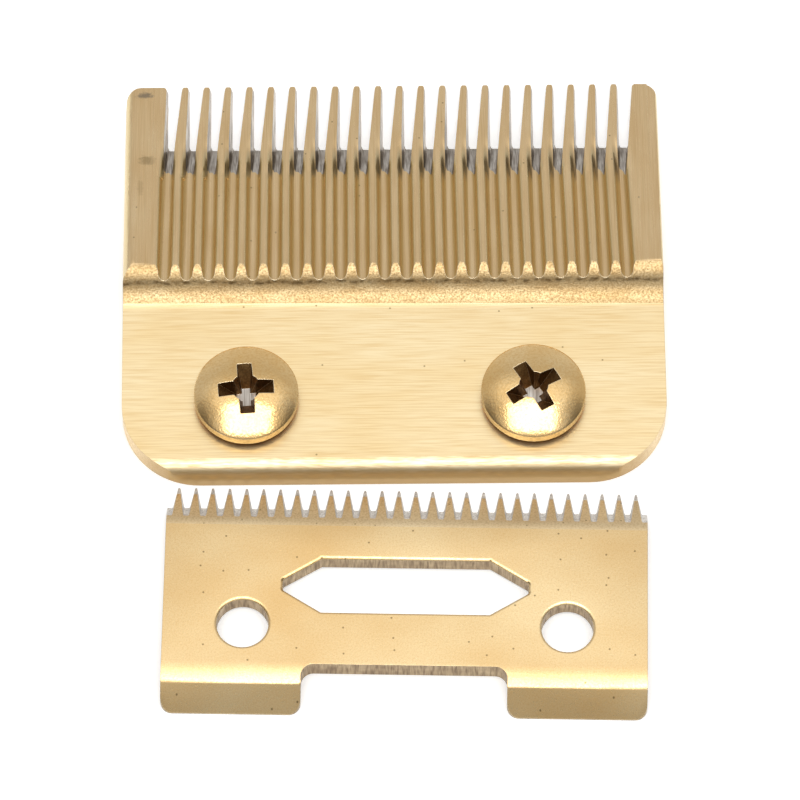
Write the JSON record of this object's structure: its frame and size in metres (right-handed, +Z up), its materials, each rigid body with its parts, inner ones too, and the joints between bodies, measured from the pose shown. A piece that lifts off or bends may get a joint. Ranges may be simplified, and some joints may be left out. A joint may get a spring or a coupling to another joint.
{
  "type": "hair clipper blade set",
  "caption": "Hair clipper blade set: a fixed comb blade with fluted ramp and fixing screws, and a loose toothed cutter with slot, spring holes and bevelled feet.",
  "frame": {"origin": "middle of the set's footprint, on the surface that it lies on", "axes": "+Z up from that surface, +Y from the cutter's feet towards the fixed blade's tooth tips, +X across the blades to the right"},
  "size_m": [0.046, 0.0602, 0.0047],
  "materials": {
    "coated_steel": "gold-coloured nitride coat over brushed steel, bare ground steel in the tooth gaps",
    "cutter_steel": "gold-coloured nitride coat over fine blasted steel, bare ground steel in the tooth gaps",
    "screw_steel": "polished gold-coloured coat, bare steel at the bottom of the cross recess"
  },
  "bodies": {
    "root": {"fixed_blade": "coated_steel", "cutter_blade": "cutter_steel", "blade_screws": "screw_steel"}
  },
  "joints": []
}
